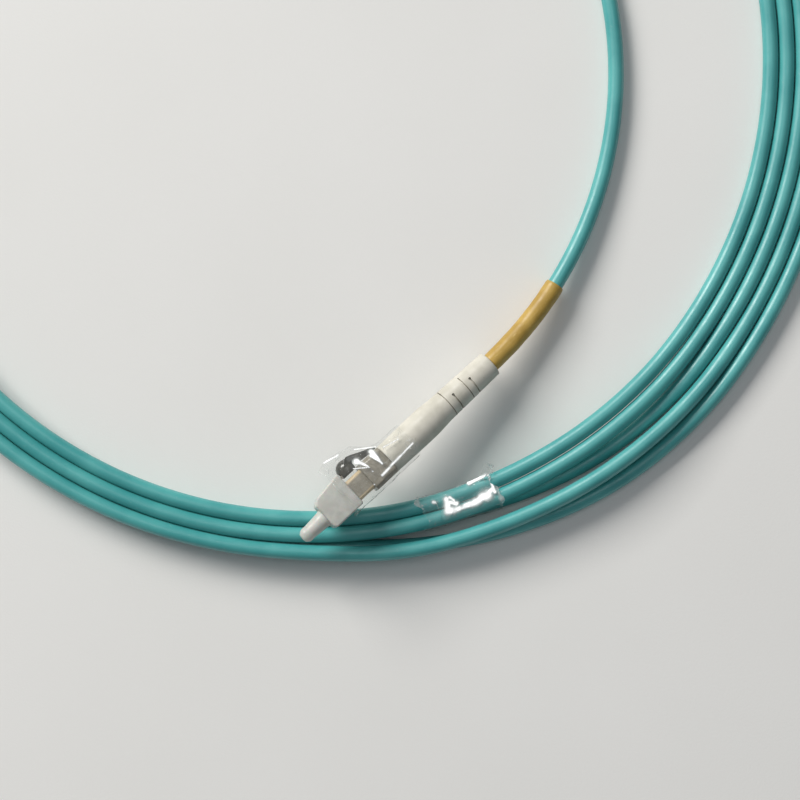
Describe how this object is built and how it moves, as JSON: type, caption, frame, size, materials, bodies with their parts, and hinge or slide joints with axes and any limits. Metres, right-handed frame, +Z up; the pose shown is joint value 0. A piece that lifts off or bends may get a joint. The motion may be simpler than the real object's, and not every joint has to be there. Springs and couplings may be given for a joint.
{
  "type": "fibre optic patch cord",
  "caption": "Coiled aqua fibre optic patch cord with latching plugs, white strain relief boots, marker sleeves, dust caps and clear packing film.",
  "frame": {"origin": "centre of the cord's footprint on the table it lies on", "axes": "+Z up from the table, with the coil flat in the XY plane; plug A's lead enters the coil from +Y and its plug points towards -X and -Y"},
  "size_m": [0.1976, 0.2084, 0.0141],
  "materials": {
    "cable_jacket": "smooth semi-matt aqua jacket",
    "aramid_yarn": "yellow strength yarn",
    "fibre_buffer": "tight buffer on the fibre",
    "bare_glass_fibre": "bare glass fibre",
    "ferrule_ceramic": "polished white ceramic",
    "plated_brass": "nickel plated",
    "spring_wire": "bright spring wire",
    "crimp_metal": "satin crimped sleeve",
    "plug_plastic": "beige grey moulded plastic",
    "trigger_plastic": "grey moulded plastic, glossy",
    "boot_rubber": "soft white boot, satin",
    "marker_tube": "yellow shrunk tube",
    "cap_plastic": "frosted clear moulding",
    "clear_film": "thin clear packing film"
  },
  "bodies": {
    "coil": {"coil_jacket": "cable_jacket", "coil_aramid_yarn": "aramid_yarn", "coil_buffered_fibre": "fibre_buffer", "flex_a_jacket": "cable_jacket", "flex_a_aramid_yarn": "aramid_yarn", "flex_a_buffered_fibre": "fibre_buffer", "flex_b_jacket": "cable_jacket", "flex_b_aramid_yarn": "aramid_yarn", "flex_b_buffered_fibre": "fibre_buffer", "coil_tie_front": "clear_film", "coil_tie_back": "clear_film"},
    "lead_a": {"lead_a_jacket": "cable_jacket", "lead_a_aramid_yarn": "aramid_yarn", "lead_a_buffered_fibre": "fibre_buffer", "marker_sleeve_a": "marker_tube", "boot_a": "boot_rubber", "crimp_sleeve_a": "crimp_metal", "crimp_post_a": "plated_brass", "rear_body_a": "plug_plastic", "plug_housing_a": "plug_plastic", "plug_film_a": "clear_film", "ferrule_spring_a": "spring_wire"},
    "cap_a": {"dust_cap_a": "cap_plastic"},
    "ferrule_a": {"ferrule_a": "ferrule_ceramic", "bare_fibre_a": "bare_glass_fibre", "ferrule_flange_a": "plated_brass"},
    "latch_a": {"latch_arm_a": "plug_plastic"},
    "trigger_a": {"trigger_a": "trigger_plastic"},
    "lead_b": {"lead_b_jacket": "cable_jacket", "lead_b_aramid_yarn": "aramid_yarn", "lead_b_buffered_fibre": "fibre_buffer", "marker_sleeve_b": "marker_tube", "boot_b": "boot_rubber", "crimp_sleeve_b": "crimp_metal", "crimp_post_b": "plated_brass", "rear_body_b": "plug_plastic", "plug_housing_b": "plug_plastic", "ferrule_spring_b": "spring_wire"},
    "cap_b": {"dust_cap_b": "cap_plastic"},
    "ferrule_b": {"ferrule_b": "ferrule_ceramic", "bare_fibre_b": "bare_glass_fibre", "ferrule_flange_b": "plated_brass"},
    "latch_b": {"latch_arm_b": "plug_plastic"},
    "trigger_b": {"trigger_b": "trigger_plastic"}
  },
  "joints": [
    {"name": "lead_lift_a", "type": "hinge", "parent": "coil", "child": "lead_a", "pos_m": [0.05582, -0.00845, 0.0017], "axis": [-1, 0, 0], "range_deg": [0, 25], "deforming": ["flex_a_jacket", "flex_a_aramid_yarn", "flex_a_buffered_fibre"]},
    {"name": "cap_pull_a", "type": "slide", "parent": "lead_a", "child": "cap_a", "axis": [-0.7242, -0.6754, 0.1392], "range_m": [0, 0.018]},
    {"name": "ferrule_push_a", "type": "slide", "parent": "lead_a", "child": "ferrule_a", "axis": [0.7242, 0.6754, -0.1392], "range_m": [0, 0.001], "deforming": ["ferrule_spring_a"]},
    {"name": "trigger_press_a", "type": "hinge", "parent": "lead_a", "child": "trigger_a", "pos_m": [0.0088, -0.08352, 0.00918], "axis": [0.1018, 0.0949, 0.9903], "range_deg": [0, 5]},
    {"name": "latch_flex_a", "type": "hinge", "parent": "lead_a", "child": "latch_a", "pos_m": [-0.00014, -0.09295, 0.011], "axis": [-0.1018, -0.0949, -0.9903], "range_deg": [0, 3.6]},
    {"name": "lead_lift_b", "type": "hinge", "parent": "coil", "child": "lead_b", "pos_m": [0.02902, 0.09105, 0.0017], "axis": [0.3057, 0.9521, 0], "range_deg": [0, 25], "deforming": ["flex_b_jacket", "flex_b_aramid_yarn", "flex_b_buffered_fibre"]},
    {"name": "cap_pull_b", "type": "slide", "parent": "lead_b", "child": "cap_b", "axis": [-0.9063, -0.4226, 0], "range_m": [0, 0.018]},
    {"name": "ferrule_push_b", "type": "slide", "parent": "lead_b", "child": "ferrule_b", "axis": [0.9063, 0.4226, 0], "range_m": [0, 0.001], "deforming": ["ferrule_spring_b"]},
    {"name": "trigger_press_b", "type": "hinge", "parent": "lead_b", "child": "trigger_b", "pos_m": [-0.07864, 0.0864, 0.00345], "axis": [0, 0, 1], "range_deg": [0, 5]},
    {"name": "latch_flex_b", "type": "hinge", "parent": "lead_b", "child": "latch_b", "pos_m": [-0.09017, 0.08013, 0.00345], "axis": [0, 0, -1], "range_deg": [0, 3.6]}
  ],
  "couplings": [
    {"joint": "latch_flex_a", "follows": "trigger_press_a", "ratio": 0.71},
    {"joint": "latch_flex_b", "follows": "trigger_press_b", "ratio": 0.71}
  ]
}
